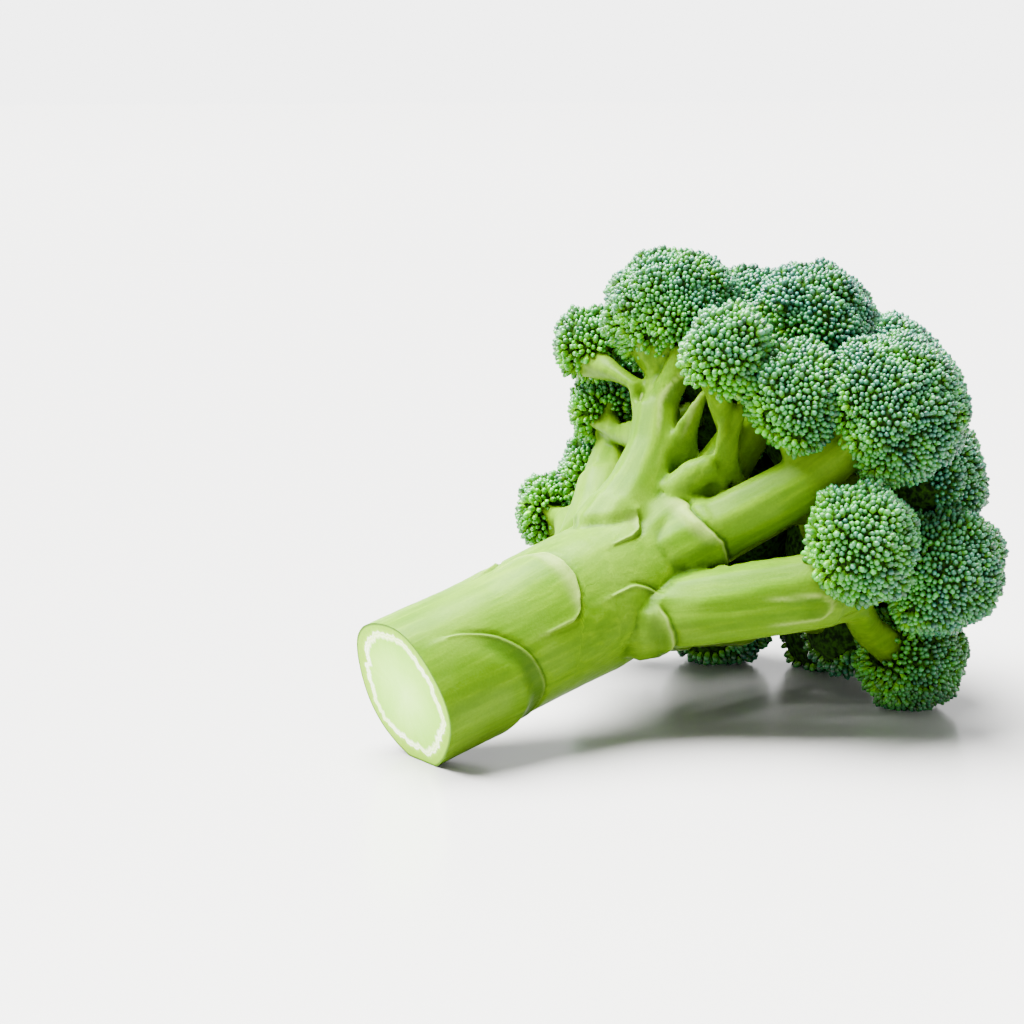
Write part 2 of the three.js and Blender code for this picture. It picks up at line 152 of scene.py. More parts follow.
# Smaller scars on the limbs: the end of the tongue, the limb's direction there, half width,
# length, how far the end bows and how high it stands.
TONGUES = (
    ((102, 49, -9.5), (0.74, 0.66, -0.12), 3.6, 15, 3, 0.6),
    ((108.5, -7, 44.5), (0.6, -0.3, 0.74), 2.6, 16, 3, 0.5),
)
# Small leaves left among the branches: root, bend and tip of the frame's simple leaf and its
# radius, then the real leaf's root, bend and tip and its half widths there.
LEAVES = (
    (
        ((101, 13, 14), (104, 14.5, 21), (103, 16, 33)),
        1.7,
        ((102, 13, 17), (104.5, 14, 29), (108, 14, 40)),
        (2.6, 1.7, 0.9),
    ),
    (
        ((108, 14, 16), (110, 15, 24), (113, 17, 35)),
        1.9,
        ((104, 14, 20), (107, 15, 29), (114, 15.5, 38.5)),
        (4, 2.4, 1.1),
    ),
    (
        ((98, -1, 26), (103, 1, 31), (109, 3, 36)),
        2.2,
        ((99, 0, 24), (104, 1.5, 33), (111.5, 3, 41)),
        (5.2, 3.6, 0.9),
    ),
)
LEAF_HALF_THICKNESS = 0.95
# Further parts of the limbs: points, radii across the view and radii along it. They are the
# swelling along the lower limb, a third fork under the upper floret and the foot that two leaves
# share.
LIMB_PARTS = (
    (((76, 20, -5.5), (90, 34, -5), (100, 43, -4.3), (110, 50, -3)), (9, 9, 7.8, 6.5), (9, 9, 7.8, 6.5)),
    (((103, -9, 36), (108, -6, 44), (113, -3, 52)), (4.4, 3.8, 3.6), (4.2, 3.6, 3.4)),
    (((91, 5, 19), (97, 9, 23), (102, 13, 24.5)), (4, 4.2, 3.4), (4, 4, 3)),
)
# The branches that spread under a floret pass these places, given along the way it faces and out
# from there, and have these radii from root to tip. All are shares of the floret's radius.
SPREAD = ((-0.62, 0.3), (-0.32, 0.6), (-0.06, 0.74))
SPREAD_RADII = (0.12, 0.15, 0.15, 0.12, 0.06)


def to_head(points):
    return (points - CUT_CENTRE) @ HEAD_AXES.T * 1000


def from_head(places):
    return np.asarray(places, float) / 1000 @ HEAD_AXES + CUT_CENTRE


def unit(vectors):
    return vectors / np.maximum(np.linalg.norm(vectors, axis=-1, keepdims=True), 1e-12)


def soft_step(low, high, values):
    t = np.clip((values - low) / (high - low), 0, 1)
    return t * t * (3 - 2 * t)

def crest(values, middle, width):
    """1 where the values are at the middle, falling smoothly to 0 on both sides."""
    return np.exp(-(((values - middle) / width) ** 2))


def colour(hex_code):
    """The linear colour of an sRGB hex code."""
    values = [int(hex_code[i : i + 2], 16) / 255 for i in (1, 3, 5)]
    return tuple(v / 12.92 if v <= 0.04045 else ((v + 0.055) / 1.055) ** 2.4 for v in values) + (1,)


# Meshes


def corners(obj):
    """Every vertex of a mesh object, and its normal."""
    count = len(obj.data.vertices)
    points, normals = np.zeros(count * 3, np.float32), np.zeros(count * 3, np.float32)
    obj.data.vertices.foreach_get("co", points)
    obj.data.vertices.foreach_get("normal", normals)
    return points.reshape(-1, 3).astype(float), normals.reshape(-1, 3).astype(float)


def move_corners(obj, points):
    obj.data.vertices.foreach_set("co", points.astype(np.float32).ravel())
    obj.data.update()


def triangles(obj):
    obj.data.calc_loop_triangles()
    found = np.zeros(len(obj.data.loop_triangles) * 3, np.int32)
    obj.data.loop_triangles.foreach_get("vertices", found)
    return found.reshape(-1, 3)


def write_attribute(obj, name, kind, values):
    attribute = obj.data.attributes.new(name, kind, "POINT")
    field = "vector" if kind == "FLOAT_VECTOR" else "value"
    attribute.data.foreach_set(field, values.astype(np.float32).ravel())


def select_only(obj):
    bpy.ops.object.select_all(action="DESELECT")
    obj.select_set(True)
    bpy.context.view_layer.objects.active = obj


def copy_of_node(node, name):
    """A copy of a CAD node with its doubled corners merged."""
    obj = bpy.data.objects.new(name, bpy.data.objects[node].data.copy())
    obj.data.materials.clear()
    bpy.context.scene.collection.objects.link(obj)
    mesh = bmesh.new()
    mesh.from_mesh(obj.data)
    bmesh.ops.remove_doubles(mesh, verts=mesh.verts, dist=1e-5)
    mesh.to_mesh(obj.data)
    mesh.free()
    return obj


def fine_surface(obj, grid, rounds):
    """Rebuilds the object's surface as an even grid of small faces and smooths it."""
    select_only(obj)
    obj.data.remesh_voxel_size = grid
    bpy.ops.object.voxel_remesh()
    smooth = obj.modifiers.new("Smooth", "SMOOTH")
    smooth.factor = 0.5
    smooth.iterations = rounds
    bpy.ops.object.modifier_apply(modifier=smooth.name)


def mesh_object(name, points, faces):
    mesh = bpy.data.meshes.new(name)
    mesh.vertices.add(len(points))
    mesh.vertices.foreach_set("co", points.astype(np.float32).ravel())
    mesh.loops.add(faces.size)
    mesh.loops.foreach_set("vertex_index", faces.astype(np.int32).ravel())
    mesh.polygons.add(len(faces))
    mesh.polygons.foreach_set("loop_start", np.arange(0, faces.size, faces.shape[1], dtype=np.int32))
    mesh.update(calc_edges=True)
    obj = bpy.data.objects.new(name, mesh)
    bpy.context.scene.collection.objects.link(obj)
    return obj


def merged(parts):
    """Several meshes' corners and triangles, as one mesh's."""
    firsts = np.cumsum([0] + [len(points) for points, _ in parts])
    faces = [own + first for (_, own), first in zip(parts, firsts)]
    return np.concatenate([points for points, _ in parts]), np.concatenate(faces)

def tree_of(parts):
    """One search tree over several objects' surfaces."""
    points, faces = merged([(corners(obj)[0], triangles(obj)) for obj in parts])
    return BVHTree.FromPolygons(points.tolist(), faces.tolist())

# Stalk


def along_lines(places):
    """For each place on the stalk: mm along the nearest limb, then how far it lies towards the viewer
    and upwards from that limb's line."""
    best = np.full(len(places), np.inf)
    found = np.zeros((len(places), 3))
    for line in LIMB_LINES.values():
        travelled = line[0][0]
        for a, b in zip(np.array(line[:-1], float), np.array(line[1:], float)):
            length = np.linalg.norm(b - a)
            t = np.clip((places - a) @ (b - a) / length**2, 0, 1)
            aside = places - a - t[:, None] * (b - a)
            distance = np.linalg.norm(aside, axis=1)
            closer = distance < best
            best[closer] = distance[closer]
            found[closer] = np.column_stack((travelled + t * length, aside[:, 1], aside[:, 2]))[closer]
            travelled += length
    return found


def ripple(values, seed):
    """A slow uneven wave of about one unit's height, for lines that aren't drawn with a ruler."""
    return (
        0.5 * np.sin(values + seed)
        + 0.3 * np.sin(2.3 * values + 1.7 * seed)
        + 0.2 * np.sin(5.1 * values + 0.6 * seed)
    )


def scar_place(along, around, spec):
    """Where places on the trunk lie on a scar: mm outside its outline, a half ellipse with straight
    sides, then how near its end (1 there, 0 where it widens no more) and how far back they are."""
    end, degrees, half, length, bow, *_ = spec
    turn = around - math.radians(degrees)
    aside = np.arctan2(np.sin(turn), np.cos(turn)) * TRUNK_RADIUS / half
    nose = np.clip(1 - (end - along) / bow, 0, None)
    reach = np.maximum(np.hypot(aside, nose), 0.01)
    slope = np.maximum(np.hypot(aside / half, nose / bow), 0.01 / max(half, bow))
    outside = (reach - 1) * reach / slope - 0.4 * ripple(np.arctan2(aside, nose) * 3, end)
    return outside, nose, (end - along) / length


def scar_relief(along, around, spec):
    """Height in mm, pale share, and share of painted shade in its groove and hollow, of one leaf scar on the
    trunk.
    """
    _, degrees, _, _, _, rise, hollow, white = spec
    outside, nose, back = scar_place(along, around, spec)
    inside = soft_step(0.25, -0.25, outside)
    front = soft_step(0.1, 0.6, nose)
    fade = soft_step(1, 0.5, back)
    scoop = hollow * soft_step(7.5, 3, -outside) * soft_step(0.3, 0.6, nose)
    height = inside * rise * np.clip(1 - back, 0, 1) ** 1.4 * (1 - scoop)
    height += 0.3 * fade * crest(outside, -0.35, 0.4)
    height -= 0.5 * fade * front * crest(outside, 0.75, 0.5)
    rough = 0.6 + 0.5 * ripple(around * 9, degrees)
    line = fade * crest(outside, -0.3, 0.35) * (0.22 + 0.45 * white * rough)
    blotch = white * inside * soft_step(9, 1, -outside) * soft_step(0.2, 0.8, nose) * (0.55 + 0.45 * rough)
    # Painted shadow in the groove just outside the scar's end, and painted shade in the hollow behind the
    # end
    groove_shade = 0.8 * fade * front * crest(outside, 0.6, 0.4)
    return height, np.maximum(line, blotch), np.maximum(0.9 * scoop * inside, groove_shade)


def shape_trunk(places):
    """Puts the trunk's corners on its exact form, with crisp leaf scars, and returns the pale marks and the
    painted shade of the scars' grooves and hollows.
    """
    along, near, up = places.T
    around, out = np.arctan2(up, near), np.hypot(near, up)
    round_form = np.interp(along, (0, 30, 60, 92), (20, 19, 19.4, 16))
    round_form += 0.35 * np.cos(5 * around + 0.6) + 0.25 * np.cos(3 * around - 1)
    marks = [scar_relief(along, around, spec) for spec in SCARS]
    height = sum(m[0] for m in marks)
    share = soft_step(3.2, 1.6, np.abs(out - round_form - 0.4)) * soft_step(88, 74, along)
    wanted = round_form + height + 0.12 * ripple(along / 3, 1) * ripple(around * 4, 2)
    moved = out + share * (wanted - out)
    ratio = moved / np.maximum(out, 1e-6)
    shaped = np.column_stack((along, near * ratio, up * ratio))
    near_skin = soft_step(4, 2, np.abs(out - round_form)) * soft_step(90, 78, along)
    pale = np.max([m[1] for m in marks], axis=0) * near_skin
    painted_shade_and_scar_face = np.max([m[2] for m in marks], axis=0) * near_skin
    return shaped, pale, painted_shade_and_scar_face


def step_place(places, spec):
    """Where places lie on a step: mm ahead of it, across it, and how far from the limb's line."""
    middle, direction, radius, _, bow, _ = spec
    direction = unit(np.array(direction))
    offset = places - np.array(middle)
    ahead = offset @ direction
    distance = np.linalg.norm(offset - ahead[:, None] * direction, axis=1)
    lateral = offset[:, 2] / radius
    return ahead + bow * ((lateral + 0.2) ** 2 - 0.3) + 0.4 * ripple(lateral * 4, radius), lateral, distance


def shape_steps(places):
    """Steps across the limbs' feet: how far each corner moves out, in mm, the pale marks, and the painted
    shade at each step, partly the scar face's own colour.
    """
    height, pale, painted_shade_and_scar_face = np.zeros((3, len(places)))
    for spec in STEPS:
        _, _, radius, top, bow, white = spec
        ahead, lateral, distance = step_place(places, spec)
        within = soft_step(radius + 4, radius + 2, distance) * soft_step(top + 0.25, top, lateral)
        height += within * 0.7 * crest(ahead, -1.6, 1.6) * soft_step(0.3, -0.3, ahead)
        height -= within * 0.6 * crest(ahead, 0.7, 0.7)
        rough = 0.6 + 0.5 * ripple(lateral * 6, bow)
        line = crest(ahead, -0.4, 0.4) * (0.5 + 0.5 * white * rough)
        blotch = white * soft_step(6, 1, -ahead) * soft_step(0.4, 0, ahead) * soft_step(-0.2, 0.5, lateral)
        pale = np.maximum(pale, within * np.maximum(line, 0.8 * blotch))
        # Painted shadow in the groove at each step's foot; behind the step the face is partly the scar's own
        # colour and partly painted shade
        groove_shade = crest(ahead, 0.6, 0.45)
        facet = 0.7 * (1 - white) * soft_step(-1, -2.2, ahead) * soft_step(-8, -4, ahead)
        painted_shade_and_scar_face = np.maximum(painted_shade_and_scar_face, within * np.maximum(groove_shade, facet))
    return height, pale, painted_shade_and_scar_face


def line_distance(places):
    """How far each place is from the edge of the nearest scar or step, roughly, in mm."""
    along, near, up = places.T
    around, out = np.arctan2(up, near), np.hypot(near, up)
    off_trunk = 9.0 * ((np.abs(out - TRUNK_RADIUS + 1) > 4) | (along > 88))
    nearest = np.full(len(places), 9.0)
    for spec in SCARS:
        outside, _, back = scar_place(along, around, spec)
        nearest = np.minimum(nearest, np.abs(outside) + 9 * ((back > 0.7) | (back < -0.1)) + off_trunk)
    for spec in STEPS:
        ahead, _, distance = step_place(places, spec)
        nearest = np.minimum(nearest, np.abs(ahead) + 9 * (distance > spec[2] + 3))
    return nearest


def refine_lines(obj):
    """Splits the faces along the scars' edges into smaller ones, so that the edges are crisp."""
    for reach in (1.6, 0.8):
        close = line_distance(to_head(corners(obj)[0])) < reach
        mesh = bmesh.new()
        mesh.from_mesh(obj.data)
        edges = [e for e in mesh.edges if close[e.verts[0].index] and close[e.verts[1].index]]
        bmesh.ops.subdivide_edges(mesh, edges=edges, cuts=1, use_grid_fill=True)
        mesh.to_mesh(obj.data)
        mesh.free()


def creases(obj):
    """How deep in a crease each corner lies, from 0 to 1."""
    points, normals = corners(obj)
    count = len(points)
    pairs = np.zeros(len(obj.data.edges) * 2, np.int32)
    obj.data.edges.foreach_get("vertices", pairs)
    a, b = pairs.reshape(-1, 2).T
    mean = lambda values: (
        np.bincount(a, values[b], count) + np.bincount(b, values[a], count)
    ) / np.maximum(np.bincount(a, minlength=count) + np.bincount(b, minlength=count), 1)
    inward = sum((mean(points[:, k]) - points[:, k]) * normals[:, k] for k in range(3)) * 1000
    for _ in range(3):
        inward = mean(inward)
    return soft_step(0.012, 0.07, inward)


def bend_leaves(places):
    """Bends the frame's simple leaves to the real leaves' lines, before the surface is made fine."""
    for simple, radius, real, _ in LEAVES:
        simple, real = np.array(simple, float), np.array(real, float)
        for k in (0, 1):
            along = simple[k + 1] - simple[k]
            t = (places - simple[k]) @ along / (along @ along)
            aside = places - simple[k] - t[:, None] * along
            close = (np.linalg.norm(aside, axis=1) < 1.5 * radius) & (t > (0.5, 0)[k]) & (t < (1, 1.2)[k])
            goes = real[k] + t[:, None] * (real[k + 1] - real[k]) + 0.5 * aside
            places = np.where(close[:, None], goes, places)
    return places


def shape_tongues(places, normals):
    """Small scars on the limbs, drawn on the side that faces the viewer."""
    height, pale, painted_shade_and_scar_face = np.zeros((3, len(places)))
    for end, direction, half, length, bow, rise in TONGUES:
        direction = unit(np.array(direction))
        offset = places - np.array(end)
        ahead = offset @ direction
        aside = offset @ unit(np.cross(direction, (0, 1, 0))) / half
        behind = (-bow * aside**2 - ahead) / length
        within = soft_step(1.12, 0.92, np.abs(aside)) * (normals[:, 1] > 0.1) * (np.abs(offset[:, 1]) < 14)
        height += rise * np.clip(1 - behind, 0, 1) * soft_step(-0.03, 0.03, behind) * within
        rim = crest(behind * length, 0, 0.6) * within
        side = crest((np.abs(aside) - 1) * half, 0, 0.5) * soft_step(1, 0.6, behind) * (behind > 0)
        side = side * (normals[:, 1] > 0.1) * (np.abs(offset[:, 1]) < 14)
        pale = np.maximum(pale, 0.5 * np.maximum(rim, side))
        # Behind each tongue's end the face is partly the scar's own colour and partly painted shade
        painted_shade_and_scar_face = np.maximum(painted_shade_and_scar_face, 0.5 * within * soft_step(0.02, 0.1, behind) * soft_step(0.6, 0.3, behind))
    return height, pale, painted_shade_and_scar_face


def tube(points, radii, thick=None, sides=8):
    """The corners and triangles of a closed tube along a few points, flat where thick says so."""
    points = np.asarray(points, float)
    deep = np.asarray(radii if thick is None else thick)[:, None, None]
    ways = unit(np.gradient(points, axis=0))
    first = unit(np.cross(ways, (0.31, 0.87, 0.38)))
    second = np.cross(ways, first)
    turn = np.arange(sides) * 2 * math.pi / sides
    wide = np.asarray(radii)[:, None, None]
    across, over = np.cos(turn)[None, :, None], np.sin(turn)[None, :, None]
    rings = points[:, None] + (wide * across * first[:, None] + deep * over * second[:, None])
    made = np.concatenate((rings.reshape(-1, 3), points[:1], points[-1:]))
    faces = []
    last = (len(points) - 1) * sides
    for k in range(sides):
        n = (k + 1) % sides
        for ring in range(0, last, sides):
            faces += [(ring + k, ring + n, ring + sides + n), (ring + k, ring + sides + n, ring + sides + k)]
        faces += [(len(made) - 2, n, k), (len(made) - 1, last + k, last + n)]
    return made, np.array(faces)


def branch_line(spec):
    """The path of a floret's branch, from its limb to the floret's underside."""
    _, place, radius, limb, share, *_ = spec
    line = np.array(LIMB_LINES[limb], float)
    step = share * (len(line) - 1)
    foot = np.array([np.interp(step, range(len(line)), line[:, k]) for k in range(3)])
    way = unit(line[int(step) + 1] - line[int(step)])
    grows = unit(np.array(place, float) - np.array(HUB))
    tip = np.array(place) - 0.2 * radius * grows
    reach = np.linalg.norm(tip - foot) / 3
    t = np.linspace(0, 1, 21)[:, None]
    return (
        (1 - t) ** 3 * foot
        + 3 * (1 - t) ** 2 * t * (foot + reach * way)
        + 3 * (1 - t) * t**2 * (tip - reach * grows)
        + t**3 * tip
    )


def bend_branches(places):
    """Bends the branches that don't run straight, before the surface is made fine."""
    for spec in FLORETS:
        if spec[0] not in BENDS:
            continue
        path = branch_line(spec)
        gaps = np.linalg.norm(places[:, None] - path[None], axis=2)
        limb = np.array(LIMB_LINES[spec[3]], float)
        off_limb = np.full(len(places), 99.0)
        for a, b in zip(limb[:-1], limb[1:]):
            t = np.clip((places - a) @ (b - a) / ((b - a) @ (b - a)), 0, 1)
            off_limb = np.minimum(off_limb, np.linalg.norm(places - a - t[:, None] * (b - a), axis=1))
        share = soft_step(7, 5, gaps.min(axis=1)) * soft_step(5.5, 8, off_limb)
        share *= 1 - (gaps.argmin(axis=1) / 20) ** 2
        places = places + share[:, None] * np.array(BENDS[spec[0]], float)
    return places


def branchlets():
    """Branches that spread under each floret whose underside shows, with the limbs' further parts
    and the leaves, as closed tubes."""
    tubes = [
        tube(from_head(line), np.array(wide) / 1000, np.array(deep) / 1000)
        for line, wide, deep in LIMB_PARTS
    ]
    for _, _, line, wide in LEAVES:
        line = np.array(line, float)
        steps = np.linspace(0, 2, 5)
        curve = np.column_stack([np.interp(steps, range(3), line[:, k]) for k in range(3)])
        deep = np.full(5, LEAF_HALF_THICKNESS) / 1000
        tubes.append(tube(from_head(curve), np.interp(steps, range(3), wide) / 1000, deep))
    for number, spec in enumerate(FLORETS):
        name, place, radius, _, _, count, *_ = spec
        path = branch_line(spec)
        centre = np.array(place, float)
        grows = unit(centre - np.array(HUB))
        one = unit(np.cross(grows, (0, 1, 0.2)))
        other = np.cross(grows, one)
        bend = np.array(BENDS.get(name, (0, 0, 0)))
        for k in range(count):
            turn = 2 * math.pi * (k + 0.37 * number) / count
            ring = math.cos(turn) * one + math.sin(turn) * other
            line = [path[6] + 0.8 * bend, path[11] + 0.06 * radius * ring + 0.6 * bend]
            line += [centre + radius * (up * grows + out * ring) for up, out in SPREAD]
            share = radius * (1 + 0.15 * math.sin(3 * k + number))
            tubes.append(tube(from_head(line), [0.001 * w * share for w in SPREAD_RADII]))
    return mesh_object("branchlets", *merged(tubes))

def build_stalk(sizes, material):
    """The whole stalk: a fine surface over the frame's stalk, with scars, and a clean cut."""
    obj = copy_of_node("stalk", "stalk_fine")
    places = to_head(corners(obj)[0])
    places[places[:, 0] < 0.5, 0] -= 5  # longer than it is, to be sliced clean at the cut
    move_corners(obj, from_head(bend_leaves(bend_branches(places))))
    added = branchlets()
    select_only(obj)
    added.select_set(True)
    bpy.ops.object.join()
    fine_surface(obj, sizes.stalk_grid, STALK_ROUNDS)
    refine_lines(obj)
    points, normals = corners(obj)
    places, turned = to_head(points), normals @ HEAD_AXES.T
    places += 0.3 * turned  # what the smoothing took off
    places, pale, painted_shade_and_scar_face = shape_trunk(places)
    height, step_pale, step_shade = shape_steps(places)
    tongue_height, tongue_pale, tongue_shade = shape_tongues(places, turned)
    places = places + (height + tongue_height)[:, None] * turned
    points = from_head(places)
    points[:, 2] = np.maximum(points[:, 2], 0)
    move_corners(obj, points)
    write_attribute(obj, "grain", "FLOAT_VECTOR", along_lines(places))
    write_attribute(obj, "pale", "FLOAT", np.max([pale, step_pale, tongue_pale], axis=0))
    # Painted shade in the creases between limbs and branches, from the crease depth, joins the scars'
    # painted shade
    write_attribute(obj, "painted_shade_and_scar_face", "FLOAT", np.max([painted_shade_and_scar_face, step_shade, tongue_shade, 0.8 * creases(obj)], axis=0))
    mesh = bmesh.new()
    mesh.from_mesh(obj.data)
    for face in mesh.faces:
        face.smooth = True
    sliced = bmesh.ops.bisect_plane(
        mesh,
        geom=mesh.verts[:] + mesh.edges[:] + mesh.faces[:],
        plane_co=CUT_CENTRE,
        plane_no=HEAD_AXES[0],
        clear_inner=True,
    )
    rim = [e for e in sliced["geom_cut"] if isinstance(e, bmesh.types.BMEdge)]
    face = bmesh.ops.contextual_create(mesh, geom=rim)["faces"][0]
    face.normal_update()
    if face.normal.dot(Vector(HEAD_AXES[0])) > 0:
        face.normal_flip()
    face.smooth = False
    bmesh.ops.poke(mesh, faces=[face])
    mesh.to_mesh(obj.data)
    mesh.free()
    # Every corner gets 1, but the one in the middle of the cut gets nearly 0
    from_centre = np.linalg.norm(to_head(corners(obj)[0]), axis=1)
    write_attribute(obj, "cut_share", "FLOAT", np.clip(from_centre, 0, 1))
    obj.data.materials.append(material)
    return obj


# Florets


def even_directions(count, jitter, random):
    """Directions spread over a sphere by the golden angle, each moved a little."""
    i = np.arange(count)
    z = 1 - (2 * i + 1) / count
    across = np.sqrt(1 - z * z)
    turn = i * math.pi * (3 - math.sqrt(5))
    made = np.column_stack((across * np.cos(turn), across * np.sin(turn), z))
    return unit(made + jitter * (random.random((count, 3)) - 0.5))


def cushions(points, centres, spacing):
    """Soft cushions round scattered centres: 1 on a cushion's top and 0 in the crease between two."""
    tree = KDTree(len(centres))
    for i, centre in enumerate(centres):
        tree.insert(centre, i)
    tree.balance()
    gaps = np.empty(len(points))
    for i, point in enumerate(points):
        nearest = tree.find_n(point, 2)
        gaps[i] = nearest[1][2] - nearest[0][2]
    t = np.clip(gaps / (0.62 * spacing), 0, 1)
    return np.sqrt(t * (2 - t))


def scatter(points, faces, weights, spacing, random):
    """Points spread over the faces, no two closer than the spacing: each one's face and place."""
    a, b, c = (points[faces[:, k]] for k in range(3))
    area = 0.5 * np.linalg.norm(np.cross(b - a, c - a), axis=1) * weights
    count = int(CANDIDATES * area.sum() / spacing**2)
    face = random.choice(len(faces), count, p=area / area.sum())
    s, t = random.random(count), random.random(count)
    over = s + t > 1
    s[over], t[over] = 1 - s[over], 1 - t[over]
    places = a[face] + s[:, None] * (b - a)[face] + t[:, None] * (c - a)[face]
    tree = KDTree(count)
    for i, place in enumerate(places):
        tree.insert(place, i)
    tree.balance()
    free, kept = np.ones(count, bool), []
    for i in range(count):
        if free[i]:
            kept.append(i)
            for _, j, _ in tree.find_range(places[i], spacing):
                free[j] = False
    return face[kept], places[kept], np.column_stack((1 - s - t, s, t))[kept]


def bud_form():
    """One bud, modelled once: its corners, its triangles and how high on the bud each corner is."""
    bpy.ops.mesh.primitive_uv_sphere_add(segments=5, ring_count=4, radius=1)
    obj = bpy.context.object
    points, faces = corners(obj)[0], triangles(obj)
    bpy.data.objects.remove(obj)
    level = points[:, 2].copy()
    wide = np.interp(level, (-1, -0.7, 0, 0.7, 1), (1, 0.95, 1.0, 0.93, 1))
    points[:, :2] *= wide[:, None]
    points[:, 2] = np.interp(level, (-1, -0.7, 0, 0.7, 1), (-1, -0.72, -0.05, 0.72, 1.08))
    return points, faces, (level + 1) / 2


def copies_of_bud(form, places, axes, radii, lengths, stems, random):
    """Every bud of a floret: the form turned to each axis, on a pedicel of its own length."""
    points, faces, level = form
    count = len(places)
    helper = np.where(np.abs(axes[:, 2:3]) < 0.9, (0.0, 0.0, 1.0), (1.0, 0.0, 0.0))
    first = unit(np.cross(axes, helper))
    second = np.cross(axes, first)
    turn = random.random(count) * 2 * math.pi
    side = np.cos(turn)[:, None] * first + np.sin(turn)[:, None] * second
    other = np.cross(axes, side)
    low = np.clip(-points[:, 2], 0, 1) ** 1.5
    slim = 1 - 0.5 * low[None, :] * np.clip(stems / radii, 0, 1)[:, None]
    x = points[None, :, 0] * radii[:, None] * slim
    y = points[None, :, 1] * radii[:, None] * slim
    z = points[None, :, 2] * lengths[:, None] - low[None, :] * stems[:, None]
    centre = places + axes * (0.35 * lengths + stems)[:, None]
    made = (
        centre[:, None, :]
        + x[..., None] * side[:, None, :]
        + y[..., None] * other[:, None, :]
        + z[..., None] * axes[:, None, :]
    )
    joined = faces[None] + (np.arange(count) * len(points))[:, None, None]
    return made.reshape(-1, 3), joined.reshape(-1, 3), np.tile(level, count)


def open_air(tree, points, normals, reach):
    """Whether each point has free air above it, up to this reach."""
    return np.array(
        [
            tree.ray_cast(Vector(p + RAY_START * n), Vector(n), reach)[0] is None
            for p, n in zip(points, normals)
        ]
    )

def cushions_over(points, centre, radius, spacing, least, jitter, random):
    """Cushions that stand this far apart all over a floret."""
    count = max(least, round(12.6 * (radius / spacing) ** 2))  # a sphere has 12.6 squares of its radius
    return cushions(points, centre + even_directions(count, jitter, random) * radius, spacing)

def shape_core(core, spec, centre, grows, others, sizes, random):
    """Raises the floret's small cushions where it is free, and says how free each corner is."""
    _, _, radius, _, _, _, bare, *_ = spec
    points, normals = corners(core)
    outward = unit(points - centre)
    free = open_air(others, points, normals, 0.0026).astype(float)
    free *= soft_step(bare - 0.1, bare + 0.1, outward @ grows) * soft_step(0.0004, 0.003, points[:, 2])
    lobe = cushions_over(points, centre, 0.9 * radius / 1000, sizes.lobe_spacing, 8, 0.4, random)
    cluster = cushions_over(points, centre, 0.93 * radius / 1000, sizes.cluster_spacing, 30, 0.5, random)
    raised = sizes.lobe_depth * (lobe - 0.75) + sizes.cluster_depth * (cluster - 0.6)
    move_corners(core, points + (free * raised)[:, None] * normals)
    return free, lobe, cluster

def build_floret(core, spec, marks, centre, grows, around, form, materials, random):
    """Covers a floret's core with buds: bluer on top, and on longer yellow pedicels round its foot."""
    _, _, radius, _, _, _, _, spacing, bloom, yellow = spec
    free, lobe, cluster = marks
    points, normals = corners(core)
    faces = triangles(core)
    weights = free[faces].mean(axis=1)
    face, places, shares = scatter(points, faces, weights**0.5, BUD_GAP * spacing / 1000, random)

    def at(values):
        weighted = shares if values.ndim == 1 else shares[..., None]
        return (values[faces[face]] * weighted).sum(axis=1)

    normal, loose, height, clump = unit(at(normals)), at(free), at(lobe), at(cluster)
    clear = open_air(around, places, normal, 0.0011)
    kept = clear & (places[:, 2] > 0.0003) & (loose > 0.15)
    places, normal, height, clump = places[kept], normal[kept], height[kept], clump[kept]
    count = len(places)
    facing = unit(places - centre) @ grows
    flank = soft_step(-0.1, -0.75, facing)
    lean = unit(normal + 0.25 * unit(places - centre) + (0.15 + 0.35 * flank)[:, None] * grows)
    axes = unit(lean + 0.45 * (random.random((count, 3)) - 0.5))
    size = BUD_RADIUS * spacing / 1000 * (0.78 + 0.38 * random.random(count)) * (0.86 + 0.16 * height)
    stems = 0.001 * (0.3 + 1.5 * random.random(count)) * np.clip(flank * 0.9 + 0.25 * yellow - 0.1, 0, 1)
    stems += 0.0004 * random.random(count)
    lengths = size * (1.1 + 0.4 * random.random(count))
    made, joined, level = copies_of_bud(form, places, axes, size, lengths, stems, random)
    made[:, 2] = np.maximum(made[:, 2], 0.0001)
    each = len(form[0])
    mottle = ripple(places[:, 0] * 300, radius) * ripple(places[:, 2] * 260, 2 * radius)
    patch = np.clip(yellow + 0.35 * mottle, 0, 1)
    warm = np.clip(0.55 * flank + patch * (1.15 - 0.6 * height) + 0.12 * random.standard_normal(count), 0, 1)
    # Each bud's brightness: a random tone, with painted shade on the buds in the creases between clusters
    tone_and_crease_shade = np.clip(0.5 + 0.32 * random.standard_normal(count) * 0.8 + 0.2 * (clump - 0.6), 0, 1)
    buds = mesh_object(core.name + "_buds", made, joined)
    write_attribute(
        buds, "bud", "FLOAT_VECTOR", np.column_stack((level, np.repeat(tone_and_crease_shade, each), np.repeat(warm, each)))
    )
    write_attribute(buds, "bloom", "FLOAT", np.repeat(bloom * (0.7 + 0.3 * height), each))
    core.data.materials.append(materials[0])
    buds.data.materials.append(materials[1])
    select_only(core)
    buds.select_set(True)
    bpy.ops.object.join()
    bpy.ops.object.shade_smooth()


# Materials


def add_node(tree, kind, values=None, links=None, **settings):
    """Adds a shader node, sets its own settings and its sockets' values, and links its inputs."""
    node = tree.nodes.new(kind)
    for name, value in settings.items():
        setattr(node, name, value)
    for socket, value in (values or {}).items():
        node.inputs[socket].default_value = value
    for socket, source in (links or {}).items():
        tree.links.new(source, node.inputs[socket])
    return node


